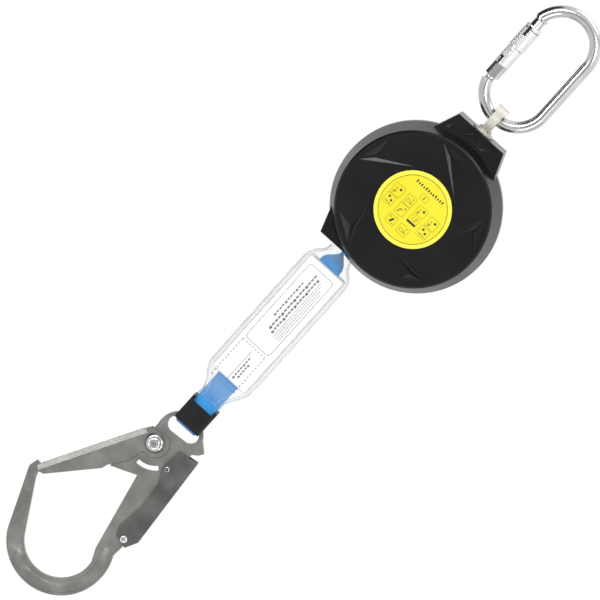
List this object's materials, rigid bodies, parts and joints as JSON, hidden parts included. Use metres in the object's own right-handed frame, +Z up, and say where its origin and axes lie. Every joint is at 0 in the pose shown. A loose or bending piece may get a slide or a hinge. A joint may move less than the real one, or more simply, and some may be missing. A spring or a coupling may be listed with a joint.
{
  "type": "self retracting lifeline",
  "caption": "Fall arrest lifeline: webbing wound on a sprung, locking drum in a round housing, with a swivel and carabiner above and an energy absorber and rebar hook below.",
  "frame": {"origin": "the point inside the carabiner's upper bow that bears on the anchor", "axes": "+Z up, with the unit hanging from its anchor; the housing's printed face looks along -Y, the drum turns about Y, and the carabiner's gate is on the -X side"},
  "size_m": [0.2004, 0.072, 0.7993],
  "materials": {
    "bright_steel": "bright zinc plate, polished",
    "sleeve_steel": "turned and knurled, zinc plated",
    "swivel_steel": "satin zinc plate",
    "black_plastic": "satin moulded nylon",
    "yellow_label": "satin printed film",
    "white_label": "satin printed sheet",
    "chassis_steel": "zinc plated, stamped",
    "spring_steel": "blued strip",
    "drum_aluminium": "turned",
    "bronze": "oiled",
    "blue_webbing": "woven polyester",
    "absorber_fabric": "folded tear webbing",
    "clear_film": "clear shrink film",
    "guard_plastic": "satin moulded",
    "hook_steel": "pressed and zinc plated, satin",
    "lever_steel": "pressed and zinc plated, dark satin"
  },
  "bodies": {
    "carabiner": {"carabiner_body": "bright_steel", "carabiner_rivet": "bright_steel"},
    "carabiner_gate": {"carabiner_gate": "bright_steel"},
    "sleeve_follower": {"sleeve_follower": "sleeve_steel"},
    "lock_sleeve": {"lock_sleeve": "sleeve_steel"},
    "swivel": {"swivel_eye": "swivel_steel", "swivel_washer": "swivel_steel", "thrust_washer": "swivel_steel", "swivel_nut": "swivel_steel", "split_pin": "swivel_steel"},
    "housing": {"front_cover": "black_plastic", "rear_cover": "black_plastic", "front_label": "yellow_label", "rear_label": "white_label", "cover_screws": "swivel_steel", "front_plate": "chassis_steel", "rear_plate": "chassis_steel", "anchor_block": "chassis_steel", "exit_guide": "black_plastic", "main_shaft": "chassis_steel", "shaft_clips": "chassis_steel", "ratchet_ring": "chassis_steel", "spring_case": "chassis_steel", "power_spring": "spring_steel", "webbing_run": "blue_webbing"},
    "drum": {"drum_hub": "drum_aluminium", "drum_flange_front": "drum_aluminium", "drum_flange_rear": "drum_aluminium", "bush_front": "bronze", "bush_rear": "bronze", "webbing_roll": "blue_webbing", "spring_arbor": "chassis_steel", "pawl_pins": "chassis_steel"},
    "pawl_a": {"pawl_a": "chassis_steel"},
    "pawl_b": {"pawl_b": "chassis_steel"},
    "pack": {"webbing_lead": "blue_webbing", "pack_film": "clear_film", "absorber_webbing": "absorber_fabric", "pack_label": "white_label", "webbing_loop": "blue_webbing", "webbing_guard": "guard_plastic"},
    "hook": {"hook_body": "hook_steel", "gate_rivet": "hook_steel", "lever_rivet": "hook_steel"},
    "hook_gate": {"hook_gate": "hook_steel"},
    "lock_lever": {"lock_lever": "lever_steel", "lever_studs": "lever_steel"}
  },
  "joints": [
    {"name": "carabiner_gate_swing", "type": "hinge", "parent": "carabiner", "child": "carabiner_gate", "pos_m": [-0.0315, 0, -0.0925], "axis": [0, 1, 0], "range_deg": [0, 25], "stiffness_Nm_per_rad": 0.3, "springref_deg": -17.19},
    {"name": "sleeve_lift", "type": "slide", "parent": "carabiner_gate", "child": "sleeve_follower", "axis": [0, 0, 1], "range_m": [0, 0.0035], "stiffness_N_per_m": 300, "springref_m": -0.004},
    {"name": "sleeve_twist", "type": "hinge", "parent": "sleeve_follower", "child": "lock_sleeve", "pos_m": [-0.0315, 0, -0.0595], "axis": [0, 0, 1], "range_deg": [0, 90], "stiffness_Nm_per_rad": 0.02, "springref_deg": -28.65},
    {"name": "eye_swing", "type": "hinge", "parent": "carabiner", "child": "swivel", "pos_m": [0, 0, -0.1269], "axis": [1, 0, 0], "range_deg": [-85, 85]},
    {"name": "housing_swivel", "type": "hinge", "parent": "swivel", "child": "housing", "pos_m": [0, 0, -0.1535], "axis": [0, 0, 1], "continuous": true},
    {"name": "webbing_payout", "type": "slide", "parent": "housing", "child": "pack", "axis": [0, 0, -1], "range_m": [0, 2.75], "stiffness_N_per_m": 2, "springref_m": -9, "deforming": ["webbing_lead"]},
    {"name": "drum_spin", "type": "hinge", "parent": "housing", "child": "drum", "pos_m": [0, 0, -0.2435], "axis": [0, -1, 0], "range_deg": [0, 4620]},
    {"name": "pawl_a_swing", "type": "hinge", "parent": "drum", "child": "pawl_a", "pos_m": [0, 0, -0.2075], "axis": [0, 1, 0], "range_deg": [0, 18], "stiffness_Nm_per_rad": 0.01, "springref_deg": -28.65},
    {"name": "pawl_b_swing", "type": "hinge", "parent": "drum", "child": "pawl_b", "pos_m": [0, 0, -0.2795], "axis": [0, 1, 0], "range_deg": [0, 18], "stiffness_Nm_per_rad": 0.01, "springref_deg": -28.65},
    {"name": "hook_swing", "type": "hinge", "parent": "pack", "child": "hook", "pos_m": [-0.024, 0, -0.5535], "axis": [1, 0, 0], "range_deg": [-25, 25]},
    {"name": "hook_gate_swing", "type": "hinge", "parent": "hook", "child": "hook_gate", "pos_m": [-0.03603, 0, -0.5944], "axis": [0, -1, 0], "range_deg": [0, 25], "stiffness_Nm_per_rad": 0.5, "springref_deg": -22.92},
    {"name": "lever_squeeze", "type": "hinge", "parent": "hook", "child": "lock_lever", "pos_m": [0.00492, 0, -0.68763], "axis": [0, -1, 0], "range_deg": [0, 3.5], "stiffness_Nm_per_rad": 5, "springref_deg": -5.73}
  ],
  "couplings": [
    {"joint": "drum_spin", "follows": "webbing_payout", "rad_per_m": 29.197}
  ]
}
